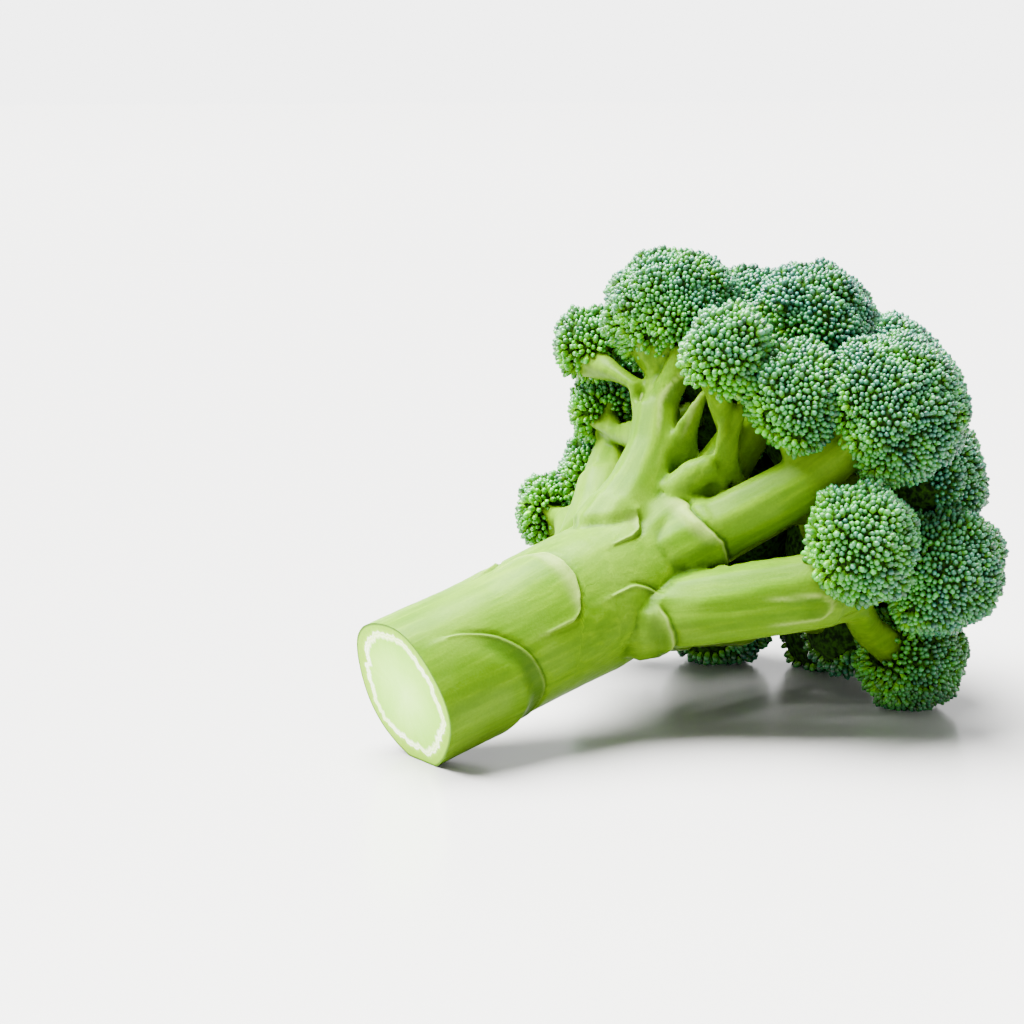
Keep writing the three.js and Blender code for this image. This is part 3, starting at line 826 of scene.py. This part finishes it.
def new_material(name):
    material = bpy.data.materials.new(name)
    material.use_nodes = True
    material.node_tree.nodes.clear()
    return material, material.node_tree


def ramp_stops(node, stops):
    """Sets a ramp's stops, each a position with a hex code, a grey or a linear colour."""
    elements = node.color_ramp.elements
    while len(elements) < len(stops):
        elements.new(0.5)
    for element, (position, value) in zip(elements, stops):
        element.position = position
        value = colour(value) if isinstance(value, str) else value
        element.color = value if isinstance(value, tuple) else (value, value, value, 1)


def stalk_material():
    """Broccoli stalk: satin skin with fibres, corky scars, painted shade in its creases and in the scars'
    grooves and hollows, and the wet cut with its pale ring.
    """
    material, tree = new_material("broccoli_stalk_skin")
    place = add_node(tree, "ShaderNodeTexCoord").outputs["Object"]
    grain = add_node(tree, "ShaderNodeAttribute", attribute_name="grain").outputs["Vector"]
    pale = add_node(tree, "ShaderNodeAttribute", attribute_name="pale").outputs["Fac"]
    painted_shade_and_scar_face = add_node(tree, "ShaderNodeAttribute", attribute_name="painted_shade_and_scar_face").outputs["Fac"]
    # Skin, with fibres 2 mm wide and 20 mm long, paler patches about 20 mm across and pores of
    # 0.7 mm. Real fibres and pores are finer, and these are as coarse as they need to show.
    along = add_node(tree, "ShaderNodeMapping", {"Scale": (0.05, 0.55, 0.55)}, {"Vector": grain})
    fibre = add_node(tree, "ShaderNodeTexNoise", {"Scale": 1.0, "Detail": 5.0}, {"Vector": along.outputs[0]})
    fibre_ramp = add_node(tree, "ShaderNodeValToRGB", links={"Fac": fibre.outputs[0]})
    ramp_stops(fibre_ramp, [(0.3, "#385900"), (0.52, "#416200"), (0.72, "#4e6f00")])
    cloud = add_node(tree, "ShaderNodeTexNoise", {"Scale": 55.0, "Detail": 2.0}, {"Vector": place})
    cloud_ramp = add_node(tree, "ShaderNodeValToRGB", links={"Fac": cloud.outputs[0]})
    ramp_stops(cloud_ramp, [(0.42, 0.0), (0.72, 1.0)])
    soft = add_node(tree, "ShaderNodeMath", {1: 0.45}, {0: cloud_ramp.outputs[0]}, operation="MULTIPLY")
    clouded = add_node(
        tree,
        "ShaderNodeMix",
        {"B": colour("#57741c")},
        {"Factor": soft.outputs[0], "A": fibre_ramp.outputs[0]},
        data_type="RGBA",
    )
    speck = add_node(tree, "ShaderNodeTexNoise", {"Scale": 1500.0, "Detail": 3.0}, {"Vector": place})
    speck_ramp = add_node(tree, "ShaderNodeValToRGB", links={"Fac": speck.outputs[0]})
    ramp_stops(speck_ramp, [(0.35, 0.93), (0.65, 1.05)])
    specked = add_node(
        tree,
        "ShaderNodeMix",
        {"Factor": 1.0},
        {"A": clouded.outputs["Result"], "B": speck_ramp.outputs[0]},
        data_type="RGBA",
        blend_type="MULTIPLY",
    )
    # Painted shade: the skin turns deep green in creases and in the scars' grooves and hollows, and on the
    # scar faces, which are partly their own colour
    shade_share = add_node(tree, "ShaderNodeMath", {1: 0.8}, {0: painted_shade_and_scar_face}, operation="MULTIPLY")
    shaded = add_node(
        tree,
        "ShaderNodeMix",
        {"B": colour("#183600")},
        {"Factor": shade_share.outputs[0], "A": specked.outputs["Result"]},
        data_type="RGBA",
    )
    broken = add_node(
        tree, "ShaderNodeMath", links={0: pale, 1: speck_ramp.outputs[0]}, operation="MULTIPLY"
    )
    corky = add_node(
        tree,
        "ShaderNodeMix",
        {"B": colour("#7d9244")},
        {"Factor": broken.outputs[0], "A": shaded.outputs["Result"]},
        data_type="RGBA",
    )
    # Cut face, in the head's own directions: x runs up the stalk, and y and z lie in the cut. Its
    # pale ring has teeth, and wetter patches about 11 mm across lie inside.
    head = add_node(
        tree,
        "ShaderNodeMapping",
        {"Location": tuple(CUT_CENTRE), "Rotation": (0, -RISE, 0)},
        {"Vector": place},
        vector_type="TEXTURE",
    )
    axes = add_node(tree, "ShaderNodeSeparateXYZ", links={0: head.outputs[0]})
    flat = add_node(tree, "ShaderNodeCombineXYZ", links={"Y": axes.outputs["Y"], "Z": axes.outputs["Z"]})
    way = add_node(tree, "ShaderNodeVectorMath", links={0: flat.outputs[0]}, operation="NORMALIZE")
    teeth = add_node(tree, "ShaderNodeTexNoise", {"Scale": 7.0, "Detail": 6.0}, {"Vector": way.outputs[0]})
    sides = add_node(tree, "ShaderNodeTexNoise", {"Scale": 1.6, "Detail": 1.0}, {"Vector": way.outputs[0]})
    wobble = add_node(
        tree, "ShaderNodeMath", {1: 0.16, 2: -0.08}, {0: teeth.outputs[0]}, operation="MULTIPLY_ADD"
    )
    bend = add_node(
        tree,
        "ShaderNodeMath",
        {1: 0.16},
        {0: sides.outputs[0], 2: wobble.outputs[0]},
        operation="MULTIPLY_ADD",
    )
    radius = add_node(tree, "ShaderNodeAttribute", attribute_name="cut_share").outputs["Fac"]
    share = add_node(tree, "ShaderNodeMath", links={0: radius, 1: bend.outputs[0]}, operation="ADD")
    section = add_node(tree, "ShaderNodeValToRGB", links={"Fac": share.outputs[0]})
    ramp_stops(
        section,
        [
            (0.0, "#b8e67c"),
            (0.45, "#a6dc58"),
            (0.85, "#90c830"),
            (0.895, "#f2fadc"),
            (0.92, "#c8e890"),
            (0.932, "#f8fdec"),
            (0.955, "#8fbc20"),
            (1.08, "#7ba800"),
        ],
    )
    juice = add_node(tree, "ShaderNodeTexNoise", {"Scale": 90.0, "Detail": 2.0}, {"Vector": head.outputs[0]})
    juice_ramp = add_node(tree, "ShaderNodeValToRGB", links={"Fac": juice.outputs[0]})
    ramp_stops(juice_ramp, [(0.35, (0.84, 0.93, 0.6, 1)), (0.6, (1, 1, 1, 1))])
    pith = add_node(
        tree,
        "ShaderNodeMix",
        {"Factor": 1.0},
        {"A": section.outputs[0], "B": juice_ramp.outputs[0]},
        data_type="RGBA",
        blend_type="MULTIPLY",
    )
    rim = add_node(tree, "ShaderNodeMapRange", {"From Min": 0.965, "From Max": 0.985}, {"Value": radius})
    edged = add_node(
        tree,
        "ShaderNodeMix",
        {"B": colour("#3a5c00")},
        {"Factor": rim.outputs[0], "A": pith.outputs["Result"]},
        data_type="RGBA",
    )
    on_cut = add_node(tree, "ShaderNodeMath", {1: 0.00012}, {0: axes.outputs["X"]}, operation="LESS_THAN")
    skin = add_node(
        tree,
        "ShaderNodeMix",
        links={"Factor": on_cut.outputs[0], "A": corky.outputs["Result"], "B": edged.outputs["Result"]},
        data_type="RGBA",
    )
    relief = add_node(
        tree,
        "ShaderNodeMath",
        {1: 0.35},
        {0: speck.outputs[0], 2: fibre.outputs[0]},
        operation="MULTIPLY_ADD",
    )
    bump = add_node(
        tree, "ShaderNodeBump", {"Strength": 0.3, "Distance": 0.0004}, {"Height": relief.outputs[0]}
    )
    shader = add_node(
        tree,
        "ShaderNodeBsdfPrincipled",
        {
            "Roughness": 0.38,
            "Specular IOR Level": 0.03,
            "Subsurface Weight": 0.15,
            "Subsurface Radius": (0.8, 1.0, 0.25),
            "Subsurface Scale": 0.0025,
        },
        {"Base Color": skin.outputs["Result"], "Normal": bump.outputs[0]},
    )
    add_node(tree, "ShaderNodeOutputMaterial", links={"Surface": shader.outputs[0]})
    return material


# A bud's colours from its foot to its tip: plain, under a blue waxy bloom, and still yellow. The first two
# have painted shade round the bud's middle, where buds crowd each other, and a paler tip that is the bloom
# with a painted highlight.
BUD_GREEN = ((0.0, "#2e5c00"), (0.35, "#285608"), (0.6, "#0e3010"), (0.85, "#124226"), (1.0, "#265e40"))
BUD_BLOOM = ((0.0, "#244c00"), (0.35, "#1e480a"), (0.6, "#0c2c22"), (0.85, "#134438"), (1.0, "#2c665a"))
BUD_YELLOW = ((0.0, "#649800"), (0.35, "#68a800"), (0.65, "#368000"), (1.0, "#388024"))

def bud_material():
    """Broccoli buds: waxy, with painted shade round each bud's middle where they crowd, a painted highlight
    with the bluer bloom on the tips, and yellow on pedicels.
    """
    material, tree = new_material("broccoli_buds")
    place = add_node(tree, "ShaderNodeTexCoord").outputs["Object"]
    bud = add_node(tree, "ShaderNodeAttribute", attribute_name="bud").outputs["Vector"]
    bloom = add_node(tree, "ShaderNodeAttribute", attribute_name="bloom").outputs["Fac"]
    parts = add_node(tree, "ShaderNodeSeparateXYZ", links={0: bud})
    level, tone_and_crease_shade, warm = parts.outputs
    ramps = []
    for stops in (BUD_GREEN, BUD_BLOOM, BUD_YELLOW):
        ramps.append(add_node(tree, "ShaderNodeValToRGB", links={"Fac": level}))
        ramp_stops(ramps[-1], stops)
    green, waxy, yellow = (ramp.outputs[0] for ramp in ramps)
    cool = add_node(
        tree,
        "ShaderNodeMix",
        links={"Factor": bloom, "A": green, "B": waxy},
        data_type="RGBA",
    )
    mixed = add_node(
        tree,
        "ShaderNodeMix",
        links={"Factor": warm, "A": cool.outputs["Result"], "B": yellow},
        data_type="RGBA",
    )
    bright = add_node(tree, "ShaderNodeMapRange", {"To Min": 0.55, "To Max": 1.5}, {"Value": tone_and_crease_shade})
    toned = add_node(
        tree,
        "ShaderNodeMix",
        {"Factor": 1.0},
        {"A": mixed.outputs["Result"], "B": bright.outputs[0]},
        data_type="RGBA",
        blend_type="MULTIPLY",
    )
    # Wax grains of 0.6 mm, coarser than real ones so that they show
    speck = add_node(tree, "ShaderNodeTexNoise", {"Scale": 1800.0, "Detail": 2.0}, {"Vector": place})
    bump = add_node(
        tree, "ShaderNodeBump", {"Strength": 0.35, "Distance": 0.0003}, {"Height": speck.outputs[0]}
    )
    shader = add_node(
        tree,
        "ShaderNodeBsdfPrincipled",
        {
            "Roughness": 0.26,
            "Specular IOR Level": 0.28,
            "Subsurface Weight": 0.08,
            "Subsurface Radius": (0.6, 1.0, 0.4),
            "Subsurface Scale": 0.0008,
        },
        {"Base Color": toned.outputs["Result"], "Normal": bump.outputs[0]},
    )
    add_node(tree, "ShaderNodeOutputMaterial", links={"Surface": shader.outputs[0]})
    return material


def core_material():
    """The floret's inside, where the pedicels fork: dull, its green taken nearly to black as painted shade,
    seen only between buds.
    """
    material, tree = new_material("broccoli_floret_inside_shade")
    place = add_node(tree, "ShaderNodeTexCoord").outputs["Object"]
    # Mottled at about a bud's width, 1.4 mm
    speck = add_node(tree, "ShaderNodeTexNoise", {"Scale": 700.0, "Detail": 2.0}, {"Vector": place})
    ramp = add_node(tree, "ShaderNodeValToRGB", links={"Fac": speck.outputs[0]})
    # Nearly black: painted shade deep between the buds, and on any bare part of the floret
    ramp_stops(ramp, [(0.4, "#071303"), (0.62, "#1d3a06")])
    shader = add_node(
        tree,
        "ShaderNodeBsdfPrincipled",
        {"Roughness": 0.9, "Specular IOR Level": 0.05},
        {"Base Color": ramp.outputs[0]},
    )
    add_node(tree, "ShaderNodeOutputMaterial", links={"Surface": shader.outputs[0]})
    return material


def table_material(roughness):
    """Pale glazed table top with soft reflections."""
    material, tree = new_material("pale_glazed_table")
    shader = add_node(
        tree, "ShaderNodeBsdfPrincipled", {"Base Color": colour("#9d9c9a"), "Roughness": roughness}
    )
    add_node(tree, "ShaderNodeOutputMaterial", links={"Surface": shader.outputs[0]})
    return material


def white_room(strength):
    """White walls that are bright near the table's level and dimmer overhead."""
    world = bpy.data.worlds.new("white_room")
    world.use_nodes = True
    tree = world.node_tree
    tree.nodes.clear()
    way = add_node(tree, "ShaderNodeTexCoord").outputs["Generated"]
    height = add_node(tree, "ShaderNodeSeparateXYZ", links={0: way}).outputs["Z"]
    share = add_node(
        tree,
        "ShaderNodeMapRange",
        {"From Min": 0.04, "From Max": 0.3, "To Min": strength, "To Max": 0.2 * strength},
        {"Value": height},
    )
    light = add_node(tree, "ShaderNodeBackground", {"Color": (1, 1, 1, 1)}, {"Strength": share.outputs[0]})
    add_node(tree, "ShaderNodeOutputWorld", links={"Surface": light.outputs[0]})
    return world


# Add-on


class BroccoliSizes(bpy.types.PropertyGroup):
    stalk_grid: FloatProperty(
        name="Stalk grid",
        description="Step of the stalk's fine surface",
        default=0.00104,
        precision=5,
        unit="LENGTH",
    )
    core_grid: FloatProperty(
        name="Floret grid",
        description="Step of the surface under the buds",
        default=0.002,
        precision=5,
        unit="LENGTH",
    )
    lobe_spacing: FloatProperty(
        name="Lobe spacing",
        description="Between the small lobes of a floret",
        default=0.0105,
        precision=4,
        unit="LENGTH",
    )
    lobe_depth: FloatProperty(
        name="Lobe depth",
        description="How far lobes stand out of their creases",
        default=0.0024,
        precision=4,
        unit="LENGTH",
    )
    cluster_spacing: FloatProperty(
        name="Cluster spacing",
        description="Between clusters of buds",
        default=0.005,
        precision=4,
        unit="LENGTH",
    )
    cluster_depth: FloatProperty(
        name="Cluster depth",
        description="How far clusters stand out",
        default=0.0008,
        precision=4,
        unit="LENGTH",
    )
    table_width: FloatProperty(name="Table", description="Width of the table", default=40.0, unit="LENGTH")
    table_roughness: FloatProperty(name="Table roughness", description="Of the glaze", default=0.2)
    room_light: FloatProperty(name="Room light", description="Strength of the white walls", default=4.9)
    key_light: FloatProperty(name="Key light", description="Strength of the soft light above", default=65.0)
    key_width: FloatProperty(
        name="Key width",
        description="How wide the light above spreads",
        default=math.radians(60),
        unit="ROTATION",
    )


class OBJECT_OT_broccoli_stalk(bpy.types.Operator):
    """Builds the stalk with all its limbs and branches"""

    bl_idname = "object.broccoli_stalk"
    bl_label = "Build stalk"

    def execute(self, context):
        obj = build_stalk(context.scene.broccoli_sizes, stalk_material())
        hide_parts("stalk")
        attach(obj, "root")
        return {"FINISHED"}


class OBJECT_OT_broccoli_florets(bpy.types.Operator):
    """Builds every floret as a core covered with buds"""

    bl_idname = "object.broccoli_florets"
    bl_label = "Build florets"

    def execute(self, context):
        sizes = context.scene.broccoli_sizes
        random = np.random.default_rng(RANDOM_SEED)
        materials, form = (core_material(), bud_material()), bud_form()
        stalk = bpy.data.objects["stalk_fine"]
        cores = [copy_of_node("floret_" + spec[0], spec[0] + "_buds") for spec in FLORETS]
        for core in cores:
            fine_surface(core, sizes.core_grid, FLORET_ROUNDS)
        centres = [from_head(spec[1]) for spec in FLORETS]
        ways = [unit(centre - from_head(HUB)) for centre in centres]
        whole = tree_of(cores)
        marks = [
            shape_core(core, spec, centre, grows, whole, sizes, random)
            for core, spec, centre, grows in zip(cores, FLORETS, centres, ways)
        ]
        around = tree_of([*cores, stalk])
        for core, spec, found, centre, grows in zip(cores, FLORETS, marks, centres, ways):
            build_floret(core, spec, found, centre, grows, around, form, materials, random)
            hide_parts("floret_" + spec[0])
            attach(core, "root")
        return {"FINISHED"}


class OBJECT_OT_broccoli_stage(bpy.types.Operator):
    """Adds the table, the soft light and the camera"""

    bl_idname = "object.broccoli_stage"
    bl_label = "Build stage"

    def execute(self, context):
        sizes = context.scene.broccoli_sizes
        bpy.ops.mesh.primitive_plane_add(size=sizes.table_width, location=(0, 0, 0))
        table = context.object
        table.name = "table"
        table.data.materials.append(table_material(sizes.table_roughness))
        context.scene.world = white_room(sizes.room_light)
        bpy.ops.object.light_add(type="SUN", rotation=LIGHT_TURN)
        light = context.object
        light.name = "soft_light_above"
        light.data.energy = sizes.key_light
        light.data.angle = sizes.key_width
        bpy.ops.object.camera_add(location=CAMERA_PLACE, rotation=CAMERA_TURN)
        camera = context.object
        camera.data.lens = 85
        camera.data.sensor_width = 36
        context.scene.camera = camera
        return {"FINISHED"}


class VIEW3D_PT_broccoli(bpy.types.Panel):
    """Sizes and steps of the broccoli head"""

    bl_label = "Broccoli"
    bl_idname = "VIEW3D_PT_broccoli"
    bl_space_type = "VIEW_3D"
    bl_region_type = "UI"
    bl_category = "Broccoli"

    def draw(self, context):
        for name in BroccoliSizes.__annotations__:
            self.layout.prop(context.scene.broccoli_sizes, name)
        for step in (OBJECT_OT_broccoli_stalk, OBJECT_OT_broccoli_florets, OBJECT_OT_broccoli_stage):
            self.layout.operator(step.bl_idname)


CLASSES = (
    BroccoliSizes,
    OBJECT_OT_broccoli_stalk,
    OBJECT_OT_broccoli_florets,
    OBJECT_OT_broccoli_stage,
    VIEW3D_PT_broccoli,
)


def register():
    for entry in CLASSES:
        bpy.utils.register_class(entry)
    bpy.types.Scene.broccoli_sizes = PointerProperty(type=BroccoliSizes)


def unregister():
    del bpy.types.Scene.broccoli_sizes
    for entry in reversed(CLASSES):
        bpy.utils.unregister_class(entry)


def main():
    register()
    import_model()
    bpy.ops.object.broccoli_stalk()
    bpy.ops.object.broccoli_florets()
    bpy.ops.object.broccoli_stage()


if __name__ == "__main__":
    main()
